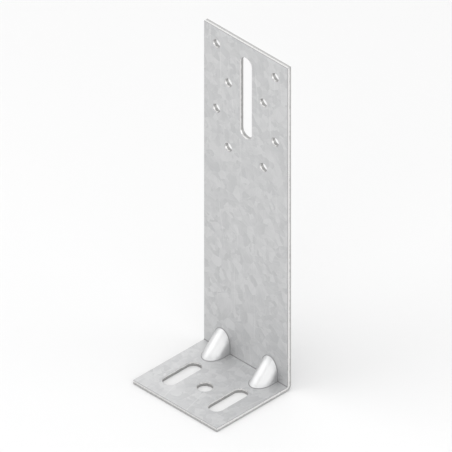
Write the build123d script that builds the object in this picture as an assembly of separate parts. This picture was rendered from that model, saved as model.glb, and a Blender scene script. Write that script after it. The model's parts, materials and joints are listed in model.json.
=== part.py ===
from build123d import *
from math import sqrt
import os

# Insulation angle bracket: one pierced blank of zinc-coated sheet steel, folded square,
# with two ribs pressed into the fold. Sizes are in millimetres.
# +X runs along the fold, +Y from the foot's front edge to the leg, +Z up the leg.
# The origin is the centre of the foot's round hole, on the foot's underside.

# Sheet
sheet = 2.5
fold_inner_r = 0.5
edge_round = 0.25

# Outer sizes of the folded bracket
width = 60.0
height = 200.0
foot_depth = 53.3

# Screw holes in the leg: a wide and a narrow rectangle of four
screw_hole_d = 5.0
wide_columns = 42.0
wide_rows = 40.0
wide_below_top = 30.0
narrow_columns = 25.0
narrow_rows = 40.0
narrow_below_top = 50.0

# Upright slot in the leg
leg_slot_width = 8.5
leg_slot_length = 50.0
leg_slot_below_top = 33.4

# Anchor hole in the foot, with a slot on each side of it
anchor_hole_d = 8.5
anchor_hole_from_rear = 31.7
foot_slot_width = 8.5
foot_slot_length = 25.0
foot_slot_spacing = 33.0

# Pressed ribs: each ridge runs at 45 degrees, and meets the leg and the foot at this
# distance from the inner corner
rib_reach = 13.2
rib_width = 11.4
rib_spacing = 34.0
rib_blend = 0.4

# Places that follow
rear_y = anchor_hole_from_rear
leg_y = rear_y - sheet
front_y = rear_y - foot_depth
fold_outer_r = fold_inner_r + sheet
rib_centres = (-rib_spacing / 2, rib_spacing / 2)
leg_face = Plane(origin=(0, leg_y, height), x_dir=(1, 0, 0), z_dir=(0, -1, 0))


def folded_blank():
    """The plain angle: its side profile, run along the fold, with the sheared edges eased."""
    with BuildPart() as blank:
        with BuildSketch(Plane.YZ):
            with BuildLine():
                inside = FilletPolyline(
                    (front_y, sheet), (leg_y, sheet), (leg_y, height), radius=fold_inner_r
                )
                outside = FilletPolyline(
                    (front_y, 0), (rear_y, 0), (rear_y, height), radius=fold_outer_r
                )
                Line(inside @ 0, outside @ 0)
                Line(inside @ 1, outside @ 1)
            make_face()
        extrude(amount=width / 2, both=True)
        along_fold = blank.edges().filter_by(Axis.X)
        ends = along_fold.group_by(Axis.Y)[0] + along_fold.group_by(Axis.Z)[-1]
        sides = blank.edges().group_by(Axis.X)[0] + blank.edges().group_by(Axis.X)[-1]
        fillet(ends + sides, edge_round)
    return blank.part


def rib_form(centre_x, half_width, ridge):
    """A bar along the ridge's slope, with straight flanks and a full round on top.

    ridge is how far its crest stands from the inner corner, square to the slope.
    """
    across_ridge = Plane(origin=(centre_x, leg_y, sheet), x_dir=(1, 0, 0), z_dir=(0, -1, -1))
    round_centre = ridge - half_width
    below_corner = fold_outer_r * sqrt(2)
    with BuildPart() as form:
        with BuildSketch(across_ridge):
            with Locations((0, round_centre)):
                Circle(half_width)
                Rectangle(
                    2 * half_width,
                    round_centre + below_corner,
                    align=(Align.CENTER, Align.MAX),
                )
        extrude(amount=2 * rib_reach, both=True)
    return form.part


def press_ribs(blank):
    """Raise the ribs inside the fold and hollow them from outside, with the sheet's thickness left."""
    ridge = rib_reach / sqrt(2)
    half_width = rib_width / 2
    inside_angle = Box(
        2 * width, 2 * rib_reach, 2 * rib_reach, align=(Align.CENTER, Align.MAX, Align.MIN)
    )
    inside_angle = Pos(0, rear_y - sheet / 2, sheet / 2) * inside_angle
    ribs = [rib_form(x, half_width, ridge) & inside_angle for x in rib_centres]
    hollows = [rib_form(x, half_width - sheet, ridge - sheet) for x in rib_centres]

    ribbed = blank + ribs
    foot_of_ribs = new_edges(blank, *ribs, combined=ribbed)
    ribbed = fillet(foot_of_ribs, rib_blend)

    # The hollow's mouth follows the blend at the sheet's thickness, within the fold's own radius
    mouth_round = min(rib_blend, 0.9 * fold_inner_r) + sheet
    hollowed = ribbed - hollows
    mouths = new_edges(ribbed, *hollows, combined=hollowed)
    return fillet(mouths, mouth_round)


def pierce(bracket):
    """Punch the leg's screw holes and slot, and the foot's anchor hole and slots."""
    with BuildPart() as pierced:
        add(bracket)
        with BuildSketch(leg_face):
            with Locations((0, -wide_below_top)):
                with GridLocations(wide_columns, wide_rows, 2, 2):
                    Circle(screw_hole_d / 2)
            with Locations((0, -narrow_below_top)):
                with GridLocations(narrow_columns, narrow_rows, 2, 2):
                    Circle(screw_hole_d / 2)
            with Locations((0, -leg_slot_below_top)):
                SlotOverall(leg_slot_length, leg_slot_width, rotation=90)
        extrude(amount=2 * sheet, both=True, mode=Mode.SUBTRACT)
        with BuildSketch(Plane.XY):
            Circle(anchor_hole_d / 2)
            with GridLocations(foot_slot_spacing, 0, 2, 1):
                SlotOverall(foot_slot_length, foot_slot_width, rotation=90)
        extrude(amount=2 * sheet, both=True, mode=Mode.SUBTRACT)
    return pierced.part


angle_bracket = pierce(press_ribs(folded_blank()))

os.makedirs("parts", exist_ok=True)
export_step(angle_bracket, "parts/angle_bracket.step")
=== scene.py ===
import json
import math

import bmesh
import bpy
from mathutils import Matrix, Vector


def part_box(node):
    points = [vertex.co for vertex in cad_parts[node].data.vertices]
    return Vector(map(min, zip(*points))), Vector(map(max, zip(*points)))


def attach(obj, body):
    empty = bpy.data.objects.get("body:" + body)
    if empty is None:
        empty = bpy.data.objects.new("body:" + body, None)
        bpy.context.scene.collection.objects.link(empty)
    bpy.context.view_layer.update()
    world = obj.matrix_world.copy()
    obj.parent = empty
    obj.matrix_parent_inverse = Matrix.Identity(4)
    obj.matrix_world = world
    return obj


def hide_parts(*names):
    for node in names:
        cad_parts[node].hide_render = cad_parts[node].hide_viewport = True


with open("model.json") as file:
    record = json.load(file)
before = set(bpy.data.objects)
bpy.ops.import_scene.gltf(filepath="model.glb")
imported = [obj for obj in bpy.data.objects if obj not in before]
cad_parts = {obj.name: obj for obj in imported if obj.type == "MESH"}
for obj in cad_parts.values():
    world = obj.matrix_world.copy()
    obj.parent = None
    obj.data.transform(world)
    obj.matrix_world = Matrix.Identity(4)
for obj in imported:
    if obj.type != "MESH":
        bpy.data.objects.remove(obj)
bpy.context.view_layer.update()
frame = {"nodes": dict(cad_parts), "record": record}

# Insulation angle bracket: its finished skin of zinc-coated sheet steel, the walls that shears
# and punches left, and the lights and view. Lengths are in metres.
MM = 0.001
BRACKET = "angle_bracket"
MOUNTS = {mount["name"]: mount for mount in frame["record"]["mounts"]}

# Places on the bracket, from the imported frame
LOW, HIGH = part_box(BRACKET)
MIDDLE = (LOW + HIGH) / 2
SHEET = MOUNTS["anchor_hole"]["dims"]["length_mm"] * MM
LEG_FRONT_Y = MOUNTS["leg_front_face"]["pos_m"][1]
LEG_REAR_Y = MOUNTS["leg_rear_face"]["pos_m"][1]

# The fold's inner radius, which the record doesn't give
FOLD_INNER_R = 0.5 * MM

# The skin's making: vertices closer than WELD are one, flat neighbours are joined
WELD = 0.001 * MM
FLAT_ANGLE = math.radians(0.1)

# Rims of the openings: rolled over where the punch went in, hardly eased where it came out
RIM_ANGLE = math.radians(60)
ROLLOVER_R = 0.28 * MM
EXIT_R = 0.1 * MM
RIM_STEPS = 3

# How far a cut wall's faces may lie from its nominal place, and how much of an axis is in the
# normal of a face that looks along it, or across it
WALL_BAND = 0.12 * MM
ALONG = 0.9
ACROSS = 0.3

# A point nearer than this to the skin or a wall lies on it
TOUCHING = 0.008 * MM

# A rib takes the full painted highlight, partly die rubbing, where it stands this far off both plates
RIB_HIGHLIGHT_STAND_OFF = 3.5 * MM

# The zinc carries painted shade in sharp creases, from where the surface leaves the plate to this
# stand-off
CREASE_START = 0.02 * MM
CREASE_END = 0.4 * MM

# The die's shoulders rubbed the outer skin along two bands beside the fold
DIE_LINE = 9.0 * MM
DIE_LINE_WIDTH = 1.6 * MM

# Zinc: its darkest and lightest crystals, its pale drifts, where it was rubbed, with the ribs' painted
# highlight, and the painted shade in creases and on rims
DARK_ZINC = (0.527, 0.531, 0.536, 1)
LIGHT_ZINC = (0.617, 0.619, 0.622, 1)
DRIFTED_ZINC = (0.66, 0.662, 0.665, 1)
RUBBED_AND_HIGHLIGHT_ZINC = (0.72, 0.72, 0.72, 1)
PAINTED_SHADE_ZINC = (0.2, 0.2, 0.205, 1)

# Roughness of the dark and the light crystals, of the rubbed ribs, of scuffs and die marks and of
# the creases and rims, and what the grain adds to it
DARK_ROUGHNESS = 0.5
LIGHT_ROUGHNESS = 0.4
RUBBED_ROUGHNESS = 0.38
MARKED_ROUGHNESS = 0.3
DULL_ROUGHNESS = 0.75
GRAIN_ROUGHNESS = 0.08

# Bare steel where the tool slid over it, and where it tore
BURNISHED_ROUGHNESS = 0.28
TORN_ROUGHNESS = 0.45

# Heights of the relief in millimetres, and how strongly all of it shows
SPANGLE_HEIGHT = 0.012
GRAIN_HEIGHT = 0.008
DRIFT_HEIGHT = 0.15
SCUFF_DEPTH = 0.004
TEAR_HEIGHT = 0.08
RELIEF_STRENGTH = 0.6

# The border between a cut wall's two bands, in shares of the sheet: how far it wanders, how wide it is
BORDER_WANDER = 0.35
BORDER_WIDTH = 0.12

# The photograph's view: parallel, from the front right and above, at equal angles to all axes
VIEW_WIDTH = 228.75 * MM
VIEW_RIGHT = 10.6 * MM
VIEW_UP = 83.37 * MM
TO_CAMERA = Vector((1, -1, 1)).normalized()
SCREEN_RIGHT = Vector((1, 1, 0)).normalized()
SCREEN_UP = Vector((-1, 1, 2)).normalized()
CAMERA_DISTANCE = 1.0

# Plain studio light: the world's fill, the floor's own glow where it is looked at, and the
# softboxes as (place, side, radiance), each turned to the bracket's middle
WORLD_FILL = 0.76
FLOOR_GLOW = 0.04
FAR_FLOOR_GLOW = 0.36
GLOW_FROM = 0.3
GLOW_TO = 3.2
FLOOR_HALF = 10.0
FLOOR_DROP = 0.05 * MM
FLOOR_COLOUR = (0.8, 0.8, 0.8, 1)
SOFTBOXES = {
    "right_softbox": ((1.2, 0.5, 0.5), 1.2, 0.8),
    "front_right_softbox": ((1.3, -0.3, 0.7), 1.0, 0.64),
    "front_softbox": ((0.9, -1.3, 1.3), 1.0, 0.77),
    "front_left_softbox": ((-0.9, -0.9, 1.0), 1.6, 0.85),
    "rear_left_softbox": ((-0.8, 0.9, 1.0), 1.0, 0.22),
    "top_softbox": ((0.0, -0.1, 1.6), 1.2, 1.2),
}


def punched_openings():
    """Each opening as (x, place along its slot, half the straight length, radius, plate)."""
    openings = []
    for mount in MOUNTS.values():
        dims = mount["dims"]
        radius = dims.get("hole_r_mm") or dims.get("r_mm")
        if not radius:
            continue
        plate = "leg" if abs(mount["axis"][1]) > 0.5 else "foot"
        x, y, z = mount["pos_m"]
        along = z if plate == "leg" else y
        half_straight = (dims.get("slot_length_mm", 2 * radius) / 2 - radius) * MM
        half_columns = dims.get("spacing_x_mm", 0) / 2 * MM
        half_rows = dims.get("spacing_y_mm", 0) / 2 * MM
        for dx in sorted({-half_columns, half_columns}):
            for da in sorted({-half_rows, half_rows}):
                openings.append((x + dx, along + da, half_straight, radius * MM, plate))
    return openings


OPENINGS = punched_openings()


def depth_in_sheet(point):
    """0 on the skin inside the angle, 1 on the outer skin."""
    bend_y = LEG_FRONT_Y - FOLD_INNER_R
    bend_z = SHEET + FOLD_INNER_R
    if point.z >= bend_z:
        depth = point.y - LEG_FRONT_Y
    elif point.y <= bend_y:
        depth = SHEET - point.z
    else:
        depth = math.hypot(point.y - bend_y, point.z - bend_z) - FOLD_INNER_R
    return min(max(depth / SHEET, 0.0), 1.0)


def is_slit_side(centre, normal):
    """True on the flat of the strip's two long sides."""
    return abs(normal.x) > ALONG and abs(centre.x) > HIGH.x - WALL_BAND


def is_cut_end(centre, normal):
    """True on the flat of the strip's cut-off ends: the leg's top and the foot's front."""
    on_top = normal.z > ALONG and centre.z > HIGH.z - WALL_BAND
    on_front = normal.y < -ALONG and centre.y < LOW.y + WALL_BAND
    return on_top or on_front


def plate_of(point):
    """The plate whose openings a point may be near."""
    return "leg" if point.z > 2 * SHEET else "foot"


def off_openings(point):
    """How far a point lies outside the wall of the nearest hole or slot in its plate."""
    plate = plate_of(point)
    along = point.z if plate == "leg" else point.y
    nearest = math.inf
    for x, middle, half_straight, radius, its_plate in OPENINGS:
        if its_plate == plate:
            past_straight = max(abs(along - middle) - half_straight, 0.0)
            nearest = min(nearest, math.hypot(point.x - x, past_straight) - radius)
    return nearest


def is_punched_wall(centre, normal):
    """True on the wall of a hole or slot."""
    out_of_sheet = normal.y if plate_of(centre) == "leg" else normal.z
    return abs(out_of_sheet) < ACROSS and off_openings(centre) < WALL_BAND


def is_on_rim(point):
    """True on the round that joins a cut wall to the skin, or to the next cut wall."""
    depth = depth_in_sheet(point)
    off_skin = min(depth, 1 - depth) * SHEET
    off_wall = min(HIGH.x - abs(point.x), HIGH.z - point.z, point.y - LOW.y, off_openings(point))
    return off_skin > TOUCHING and TOUCHING < off_wall < ROLLOVER_R


def put_in_fixed_order(bm):
    """Sort a mesh by place, because rounding leaves its parts in an order that changes each run."""
    places = (
        (bm.verts, lambda vert: tuple(vert.co)),
        (bm.edges, lambda edge: tuple(edge.verts[0].co + edge.verts[1].co)),
        (bm.faces, lambda face: tuple(face.calc_center_median())),
    )
    for parts, place in places:
        ranks = {part: rank for rank, part in enumerate(sorted(parts, key=place))}
        parts.sort(key=ranks.get)


def ease_rims(bm, radius, on_entry_side):
    """Round the sharp rims on one side of the sheet."""
    rims = []
    for edge in bm.edges:
        entry = depth_in_sheet((edge.verts[0].co + edge.verts[1].co) / 2) < 0.5
        if entry == on_entry_side and edge.calc_face_angle(0) > RIM_ANGLE:
            rims.append(edge)
    bmesh.ops.bevel(
        bm,
        geom=rims,
        offset=radius,
        offset_type="OFFSET",
        segments=RIM_STEPS,
        profile=0.5,
        affect="EDGES",
        clamp_overlap=True,
    )
    put_in_fixed_order(bm)


def finished_bracket(metals):
    """The solid's own faces as one welded skin, with its rims eased and its making marked on it.

    metals are those of the skin, of the strip's slit sides, of its cut-off ends and of the
    punched walls.
    """
    bm = bmesh.new()
    bm.from_mesh(frame["nodes"][BRACKET].data)
    bmesh.ops.remove_doubles(bm, verts=bm.verts, dist=WELD)
    bmesh.ops.dissolve_limit(bm, angle_limit=FLAT_ANGLE, verts=bm.verts, edges=bm.edges)
    ease_rims(bm, ROLLOVER_R, True)
    ease_rims(bm, EXIT_R, False)
    bm.normal_update()
    depth = bm.verts.layers.float.new("depth")
    rim = bm.verts.layers.float.new("rim")
    for vert in bm.verts:
        vert[depth] = depth_in_sheet(vert.co)
        vert[rim] = is_on_rim(vert.co)
    for face in bm.faces:
        centre = face.calc_center_median()
        if is_slit_side(centre, face.normal):
            face.material_index = 1
        elif is_cut_end(centre, face.normal):
            face.material_index = 2
        elif is_punched_wall(centre, face.normal):
            face.material_index = 3
        face.smooth = True
    mesh = bpy.data.meshes.new("bracket_draft")
    bm.to_mesh(mesh)
    bm.free()
    for metal in metals:
        mesh.materials.append(metal)
    return with_even_normals(mesh, "finished_bracket")


def with_even_normals(mesh, name):
    """An object whose flats shade flat and whose rounds shade round, as a plain mesh."""
    draft = bpy.data.objects.new("draft", mesh)
    bpy.context.scene.collection.objects.link(draft)
    even = draft.modifiers.new("even_normals", "WEIGHTED_NORMAL")
    even.mode = "FACE_AREA"
    evaluated = draft.evaluated_get(bpy.context.evaluated_depsgraph_get())
    finished = bpy.data.objects.new(name, bpy.data.meshes.new_from_object(evaluated))
    bpy.context.scene.collection.objects.link(finished)
    bpy.data.objects.remove(draft)
    return finished


def feed(tree, socket, value):
    """Link a socket, or set it if the value is plain."""
    if isinstance(value, bpy.types.NodeSocket):
        tree.links.new(value, socket)
    else:
        socket.default_value = value


def calc(tree, operation, first, second=0.0, clamp=False):
    """One step of arithmetic."""
    node = tree.nodes.new("ShaderNodeMath")
    node.operation = operation
    node.use_clamp = clamp
    feed(tree, node.inputs[0], first)
    feed(tree, node.inputs[1], second)
    return node.outputs[0]


def vector_calc(tree, operation, first, second, third=None):
    """One step of vector arithmetic."""
    node = tree.nodes.new("ShaderNodeVectorMath")
    node.operation = operation
    feed(tree, node.inputs[0], first)
    feed(tree, node.inputs[1], second)
    if third is not None:
        feed(tree, node.inputs[2], third)
    return node.outputs[0]


def vector_length(tree, vector):
    node = tree.nodes.new("ShaderNodeVectorMath")
    node.operation = "LENGTH"
    feed(tree, node.inputs[0], vector)
    return node.outputs["Value"]


def noise(tree, vector, scale, detail, roughness=0.5):
    node = tree.nodes.new("ShaderNodeTexNoise")
    feed(tree, node.inputs["Vector"], vector)
    feed(tree, node.inputs["Scale"], scale)
    node.inputs["Detail"].default_value = detail
    node.inputs["Roughness"].default_value = roughness
    return node


def mix_values(tree, share, first, second):
    """first where share is 0, second where it is 1."""
    node = tree.nodes.new("ShaderNodeMix")
    node.data_type = "FLOAT"
    feed(tree, node.inputs[0], share)
    feed(tree, node.inputs[2], first)
    feed(tree, node.inputs[3], second)
    return node.outputs[0]


def mix_colours(tree, share, first, second):
    node = tree.nodes.new("ShaderNodeMix")
    node.data_type = "RGBA"
    feed(tree, node.inputs[0], share)
    feed(tree, node.inputs[6], first)
    feed(tree, node.inputs[7], second)
    return node.outputs[2]


def spread(tree, value, low, high):
    """The part of a value between low and high, as 0 to 1."""
    node = tree.nodes.new("ShaderNodeMapRange")
    node.interpolation_type = "SMOOTHSTEP"
    feed(tree, node.inputs["Value"], value)
    node.inputs["From Min"].default_value = low
    node.inputs["From Max"].default_value = high
    return node.outputs["Result"]


def new_group(name, inputs, outputs):
    """A shader group. Inputs are name: plain value, or None for a place."""
    group = bpy.data.node_groups.new(name, "ShaderNodeTree")
    for socket, value in inputs.items():
        kind = "NodeSocketVector" if value is None else "NodeSocketFloat"
        made = group.interface.new_socket(socket, in_out="INPUT", socket_type=kind)
        if value is not None:
            made.default_value = value
    for socket in outputs:
        group.interface.new_socket(socket, in_out="OUTPUT", socket_type="NodeSocketFloat")
    return group, group.nodes.new("NodeGroupInput").outputs, group.nodes.new("NodeGroupOutput").inputs


def crystals(group, place, per_metre):
    """Random numbers for each crystal as a colour, and its slope of tone from side to side."""
    cells = group.nodes.new("ShaderNodeTexVoronoi")
    feed(group, cells.inputs["Vector"], place)
    feed(group, cells.inputs["Scale"], per_metre)
    from_centre = vector_calc(group, "SUBTRACT", place, cells.outputs["Position"])
    lean = vector_calc(group, "SUBTRACT", cells.outputs["Color"], (0.5, 0.5, 0.5))
    slope = group.nodes.new("ShaderNodeVectorMath")
    slope.operation = "DOT_PRODUCT"
    feed(group, slope.inputs[0], from_centre)
    feed(group, slope.inputs[1], lean)
    return cells.outputs["Color"], calc(group, "MULTIPLY", slope.outputs["Value"], per_metre)


def zinc_spangle():
    """Frost-like crystals of two sizes, each with a tone, a height and feathers of its own."""
    bends_per_metre = 260.0
    bend = 2.2 * MM
    small_to_large = 1.7
    patches_per_metre = 90.0
    small_above = 0.55
    feathers_per_metre = 1500.0
    feather_stretch = (1.0, 0.12, 0.12)

    inputs = {"Place": None, "Crystals per Metre": 200.0, "Slope": 0.7, "Feathers": 1.2}
    group, given, out = new_group("zinc_spangle", inputs, ["Tone", "Relief"])
    wander = noise(group, given["Place"], bends_per_metre, 3.0, 0.6).outputs["Color"]
    bent = vector_calc(group, "MULTIPLY_ADD", wander, (bend, bend, bend), given["Place"])
    large, large_slope = crystals(group, bent, given["Crystals per Metre"])
    small_scale = calc(group, "MULTIPLY", given["Crystals per Metre"], small_to_large)
    small, small_slope = crystals(group, bent, small_scale)
    patches = noise(group, bent, patches_per_metre, 1.0).outputs["Fac"]
    is_small = calc(group, "GREATER_THAN", patches, small_above)
    chosen = group.nodes.new("ShaderNodeSeparateColor")
    feed(group, chosen.inputs[0], mix_colours(group, is_small, large, small))
    tone, turn, height = chosen.outputs
    slope = mix_values(group, is_small, large_slope, small_slope)

    turned = group.nodes.new("ShaderNodeVectorRotate")
    turned.inputs["Axis"].default_value = (1.0, 1.0, 1.0)
    feed(group, turned.inputs["Vector"], given["Place"])
    feed(group, turned.inputs["Angle"], calc(group, "MULTIPLY", turn, math.tau))
    drawn = vector_calc(group, "MULTIPLY", turned.outputs[0], feather_stretch)
    strokes = noise(group, drawn, feathers_per_metre, 2.0).outputs["Fac"]
    feathers = calc(group, "SUBTRACT", strokes, 0.5)
    feathers = calc(group, "MULTIPLY", feathers, given["Feathers"])
    feathers = calc(group, "ADD", feathers, calc(group, "MULTIPLY", slope, given["Slope"]))
    feed(group, out["Tone"], calc(group, "ADD", tone, feathers, clamp=True))
    feed(group, out["Relief"], calc(group, "ADD", height, feathers))
    return group


def metal_grain():
    """Fine grain, drawn out along one way of the sheet, and a slow drift over the whole piece."""
    stretch = (1.0, 0.3, 0.3)

    inputs = {"Place": None, "Grains per Metre": 2500.0, "Drifts per Metre": 18.0}
    group, given, out = new_group("metal_grain", inputs, ["Grain", "Drift"])
    drawn = vector_calc(group, "MULTIPLY", given["Place"], stretch)
    grain = noise(group, drawn, given["Grains per Metre"], 4.0)
    drift = noise(group, drawn, given["Drifts per Metre"], 2.0)
    feed(group, out["Grain"], grain.outputs["Fac"])
    feed(group, out["Drift"], drift.outputs["Fac"])
    return group


def handling_scuffs():
    """Hair-fine scuffs in two directions, thin and broken, from stacking and transport."""
    tilt_axis = (1.0, 0.0, 0.4)
    tilts = (0.35, -0.8)
    stretch = (1.0, 0.03, 0.03)
    crispness = 14.0

    inputs = {"Place": None, "Scuffs per Metre": 700.0, "Scarcity": 0.7}
    group, given, out = new_group("handling_scuffs", inputs, ["Scuffs"])
    total = None
    for tilt in tilts:
        turned = group.nodes.new("ShaderNodeVectorRotate")
        turned.inputs["Axis"].default_value = tilt_axis
        feed(group, turned.inputs["Vector"], given["Place"])
        turned.inputs["Angle"].default_value = tilt
        drawn = vector_calc(group, "MULTIPLY", turned.outputs[0], stretch)
        hairs = noise(group, drawn, given["Scuffs per Metre"], 1.0)
        over = calc(group, "SUBTRACT", hairs.outputs["Fac"], given["Scarcity"])
        line = calc(group, "MULTIPLY", over, crispness, clamp=True)
        total = line if total is None else calc(group, "MAXIMUM", total, line)
    feed(group, out["Scuffs"], total)
    return group


def place_group(tree, group, values):
    """A group placed in a material, with its inputs fed."""
    node = tree.nodes.new("ShaderNodeGroup")
    node.node_tree = group
    for socket, value in values.items():
        feed(tree, node.inputs[socket], value)
    return node.outputs


def grey(value):
    """A neutral colour, the least bit warm, as bare steel is."""
    return (value, 0.995 * value, 0.985 * value, 1)


def attribute(tree, name):
    node = tree.nodes.new("ShaderNodeAttribute")
    node.attribute_name = name
    return node.outputs["Fac"]


def new_metal(name, metallic):
    """A material with its tree, its shader and the place on the piece."""
    material = bpy.data.materials.new(name)
    material.use_nodes = True
    tree = material.node_tree
    shader = tree.nodes["Principled BSDF"]
    shader.inputs["Metallic"].default_value = metallic
    place = tree.nodes.new("ShaderNodeTexCoord").outputs["Object"]
    return material, tree, shader, place


def add_relief(tree, shader, height):
    """Raise the surface by a height in millimetres."""
    bump = tree.nodes.new("ShaderNodeBump")
    bump.inputs["Strength"].default_value = RELIEF_STRENGTH
    bump.inputs["Distance"].default_value = MM
    feed(tree, bump.inputs["Height"], height)
    feed(tree, shader.inputs["Normal"], bump.outputs["Normal"])


def die_rub(tree, place):
    """1 along the two bands on the outer skin where the fold's die rubbed."""
    split = tree.nodes.new("ShaderNodeSeparateXYZ")
    feed(tree, split.inputs[0], place)
    from_rear = calc(tree, "SUBTRACT", LEG_REAR_Y, split.outputs["Y"])
    from_bottom = split.outputs["Z"]
    along = calc(tree, "MAXIMUM", from_rear, from_bottom)
    off_line = calc(tree, "ABSOLUTE", calc(tree, "SUBTRACT", along, DIE_LINE))
    on_line = calc(tree, "SUBTRACT", 1.0, spread(tree, off_line, 0.0, DIE_LINE_WIDTH))
    outer = spread(tree, attribute(tree, "depth"), 0.6, 0.95)
    return calc(tree, "MULTIPLY", on_line, outer)


def off_both_plates(tree, place):
    """How far the surface stands off the nearer plate, inside the angle."""
    split = tree.nodes.new("ShaderNodeSeparateXYZ")
    feed(tree, split.inputs[0], place)
    off_leg = calc(tree, "SUBTRACT", LEG_FRONT_Y, split.outputs["Y"])
    off_foot = calc(tree, "SUBTRACT", split.outputs["Z"], SHEET)
    return calc(tree, "MINIMUM", off_leg, off_foot)


def sharp_creases(tree, place, stand_off):
    """1 in the fold's inner round and in the narrow blends round the ribs, 0 on the plates: where shade
    is painted.
    """
    left_plate = spread(tree, stand_off, 0.0, CREASE_START)
    still_near = calc(tree, "SUBTRACT", 1.0, spread(tree, stand_off, 0.5 * CREASE_END, CREASE_END))

    inwards = tree.nodes.new("ShaderNodeVectorMath")
    inwards.operation = "DOT_PRODUCT"
    feed(tree, inwards.inputs[0], place.node.outputs["Normal"])
    inwards.inputs[1].default_value = (0.0, -1.0, 1.0)
    on_inside = spread(tree, inwards.outputs["Value"], 0.1, 0.3)
    return calc(tree, "MULTIPLY", calc(tree, "MULTIPLY", left_plate, still_near), on_inside)


def zinc_coated_steel(grain_group, scuff_group):
    """The skin: zinc with a faint spangle, lighter on the ribs as painted highlight and die rubbing, with
    painted shade in creases and on rims, the rims' shade partly edge wear.
    """
    drift_share = 0.25
    rib_highlight_share = 0.5
    marked_share = 0.35
    least_shade = 0.5
    most_shade = 0.76

    material, tree, shader, place = new_metal("zinc_coated_steel", metallic=0.78)
    spangle = place_group(tree, zinc_spangle(), {"Place": place})
    grain = place_group(tree, grain_group, {"Place": place})
    scuffs = place_group(tree, scuff_group, {"Place": place})["Scuffs"]
    stand_off = off_both_plates(tree, place)
    # Painted highlight: the ribs grow lighter the further they stand off the plates, partly as die
    # rubbing
    rib_highlight_and_rub = spread(tree, stand_off, 0.0, RIB_HIGHLIGHT_STAND_OFF)
    # Painted shade: creases and rims are darkened, the rims partly as edge wear
    crease_and_rim_shade = calc(tree, "MAXIMUM", sharp_creases(tree, place, stand_off), attribute(tree, "rim"))
    die = die_rub(tree, place)

    zinc = mix_colours(tree, spangle["Tone"], DARK_ZINC, LIGHT_ZINC)
    drift = spread(tree, grain["Drift"], 0.3, 0.7)
    zinc = mix_colours(tree, calc(tree, "MULTIPLY", drift, drift_share), zinc, DRIFTED_ZINC)
    # The ribs' painted highlight, partly die rubbing
    zinc = mix_colours(tree, calc(tree, "MULTIPLY", rib_highlight_and_rub, rib_highlight_share), zinc, RUBBED_AND_HIGHLIGHT_ZINC)
    marks = calc(tree, "MULTIPLY", calc(tree, "MAXIMUM", scuffs, die), marked_share)
    zinc = mix_colours(tree, marks, zinc, RUBBED_AND_HIGHLIGHT_ZINC)
    # Painted shade in the creases and on the rims
    patchy = mix_values(tree, spangle["Tone"], least_shade, most_shade)
    zinc = mix_colours(tree, calc(tree, "MULTIPLY", crease_and_rim_shade, patchy), zinc, PAINTED_SHADE_ZINC)
    feed(tree, shader.inputs["Base Color"], zinc)

    rough = mix_values(tree, spangle["Tone"], DARK_ROUGHNESS, LIGHT_ROUGHNESS)
    rough = calc(tree, "ADD", rough, calc(tree, "MULTIPLY", grain["Grain"], GRAIN_ROUGHNESS))
    rough = mix_values(tree, rib_highlight_and_rub, rough, RUBBED_ROUGHNESS)
    rough = mix_values(tree, marks, rough, MARKED_ROUGHNESS)
    feed(tree, shader.inputs["Roughness"], mix_values(tree, crease_and_rim_shade, rough, DULL_ROUGHNESS))

    height = calc(tree, "MULTIPLY", spangle["Relief"], SPANGLE_HEIGHT)
    height = calc(tree, "ADD", height, calc(tree, "MULTIPLY", grain["Grain"], GRAIN_HEIGHT))
    height = calc(tree, "ADD", height, calc(tree, "MULTIPLY", grain["Drift"], DRIFT_HEIGHT))
    height = calc(tree, "SUBTRACT", height, calc(tree, "MULTIPLY", scuffs, SCUFF_DEPTH))
    add_relief(tree, shader, height)
    return material


def cut_steel(name, grain_group, scuff_group, burnished_and_painted_light, torn, burnish_depth):
    """A cut wall: a burnished band where the tool went in, then a rough torn one.

    The two greys are the burnished and the torn band's, the burnished one set partly as painted light,
    and burnish_depth is the first band's share of the sheet.
    """
    tears_per_metre = 1700.0
    scarcity = 0.62
    pitted_share = 0.3
    pit_tone = 0.7
    scuff_gloss = 0.08

    material, tree, shader, place = new_metal(name, metallic=0.85)
    tears = place_group(tree, grain_group, {"Place": place, "Grains per Metre": tears_per_metre})["Grain"]
    scuffs = place_group(tree, scuff_group, {"Place": place, "Scarcity": scarcity})["Scuffs"]
    ragged = calc(tree, "MULTIPLY", calc(tree, "SUBTRACT", tears, 0.5), BORDER_WANDER)
    depth = calc(tree, "ADD", attribute(tree, "depth"), ragged)
    is_torn = spread(tree, depth, burnish_depth, burnish_depth + BORDER_WIDTH)

    steel = mix_colours(tree, is_torn, grey(burnished_and_painted_light), grey(torn))
    pits = calc(tree, "MULTIPLY", is_torn, spread(tree, tears, 0.45, 0.7))
    steel = mix_colours(tree, calc(tree, "MULTIPLY", pits, pitted_share), steel, grey(pit_tone * torn))
    feed(tree, shader.inputs["Base Color"], steel)
    rough = mix_values(tree, is_torn, BURNISHED_ROUGHNESS, TORN_ROUGHNESS)
    rough = calc(tree, "SUBTRACT", rough, calc(tree, "MULTIPLY", scuffs, scuff_gloss))
    feed(tree, shader.inputs["Roughness"], rough)

    height = calc(tree, "MULTIPLY", calc(tree, "MULTIPLY", tears, is_torn), TEAR_HEIGHT)
    add_relief(tree, shader, height)
    return material


def looked_at(tree):
    """1 for rays from the camera, in a reflection or through glass."""
    rays = tree.nodes.new("ShaderNodeLightPath").outputs
    seen = calc(tree, "MAXIMUM", rays["Is Camera Ray"], rays["Is Glossy Ray"])
    return calc(tree, "MAXIMUM", seen, rays["Is Transmission Ray"])


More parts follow.
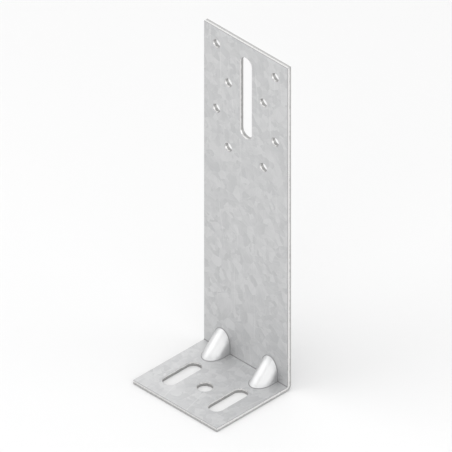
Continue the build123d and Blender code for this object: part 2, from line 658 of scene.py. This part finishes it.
def pale_floor():
    """A plain floor, nearly white where it is looked at, that keeps the bracket's shadow."""
    mesh = bpy.data.meshes.new("pale_floor")
    quarters = ((-1, -1), (1, -1), (1, 1), (-1, 1))
    corners = [(x * FLOOR_HALF, y * FLOOR_HALF, -FLOOR_DROP) for x, y in quarters]
    mesh.from_pydata(corners, [], [(0, 1, 2, 3)])
    floor = bpy.data.objects.new("pale_floor", mesh)
    bpy.context.scene.collection.objects.link(floor)
    material = bpy.data.materials.new("pale_floor")
    material.use_nodes = True
    tree = material.node_tree
    paint = tree.nodes["Principled BSDF"]
    paint.inputs["Base Color"].default_value = FLOOR_COLOUR
    paint.inputs["Roughness"].default_value = 0.9
    paint.inputs["Specular IOR Level"].default_value = 0.0
    paint.inputs["Emission Color"].default_value = (1, 1, 1, 1)
    far = vector_length(tree, tree.nodes.new("ShaderNodeTexCoord").outputs["Object"])
    glow = mix_values(tree, spread(tree, far, GLOW_FROM, GLOW_TO), FLOOR_GLOW, FAR_FLOOR_GLOW)
    feed(tree, paint.inputs["Emission Strength"], calc(tree, "MULTIPLY", looked_at(tree), glow))
    mesh.materials.append(material)


def pale_world():
    """White where it is looked at, and a plain fill light elsewhere."""
    world = bpy.data.worlds.new("pale_world")
    world.use_nodes = True
    tree = world.node_tree
    sky = tree.nodes["Background"]
    sky.inputs["Color"].default_value = (1, 1, 1, 1)
    feed(tree, sky.inputs["Strength"], mix_values(tree, looked_at(tree), WORLD_FILL, 1.0))
    bpy.context.scene.world = world


def softbox(name, place, side, radiance):
    """A square lamp of an even radiance, turned to the bracket's middle."""
    lamp = bpy.data.lights.new(name, "AREA")
    lamp.shape = "SQUARE"
    lamp.size = side
    lamp.energy = radiance * math.pi * side * side
    holder = bpy.data.objects.new(name, lamp)
    holder.location = place
    holder.rotation_mode = "QUATERNION"
    holder.rotation_quaternion = (MIDDLE - Vector(place)).to_track_quat("-Z", "Y")
    bpy.context.scene.collection.objects.link(holder)


def photo_camera():
    """The photograph's own parallel view."""
    lens = bpy.data.cameras.new("photo_camera")
    lens.type = "ORTHO"
    lens.ortho_scale = VIEW_WIDTH
    lens.clip_start = 0.01
    lens.clip_end = 20.0
    holder = bpy.data.objects.new("photo_camera", lens)
    aim = SCREEN_RIGHT * VIEW_RIGHT + SCREEN_UP * VIEW_UP
    holder.location = aim + TO_CAMERA * CAMERA_DISTANCE
    holder.rotation_mode = "QUATERNION"
    holder.rotation_quaternion = (-TO_CAMERA).to_track_quat("-Z", "Y")
    bpy.context.scene.collection.objects.link(holder)
    bpy.context.scene.camera = holder


photo_camera()
grain = metal_grain()
scuffs = handling_scuffs()
# The burnished greys are partly painted light: lighter on the strip's long sides and the punched walls as
# a painted highlight, darker on the cut-off ends as painted shade
metals = [
    zinc_coated_steel(grain, scuffs),
    cut_steel("slit_steel", grain, scuffs, burnished_and_painted_light=0.78, torn=0.47, burnish_depth=0.48),
    cut_steel("cut_off_steel", grain, scuffs, burnished_and_painted_light=0.7, torn=0.47, burnish_depth=0.42),
    cut_steel("punched_steel", grain, scuffs, burnished_and_painted_light=0.76, torn=0.38, burnish_depth=0.3),
]
bracket = finished_bracket(metals)
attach(bracket, "root")
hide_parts(BRACKET)

pale_floor()
pale_world()
for name, (place, side, radiance) in SOFTBOXES.items():
    softbox(name, place, side, radiance)
bpy.context.scene.view_settings.view_transform = "Standard"
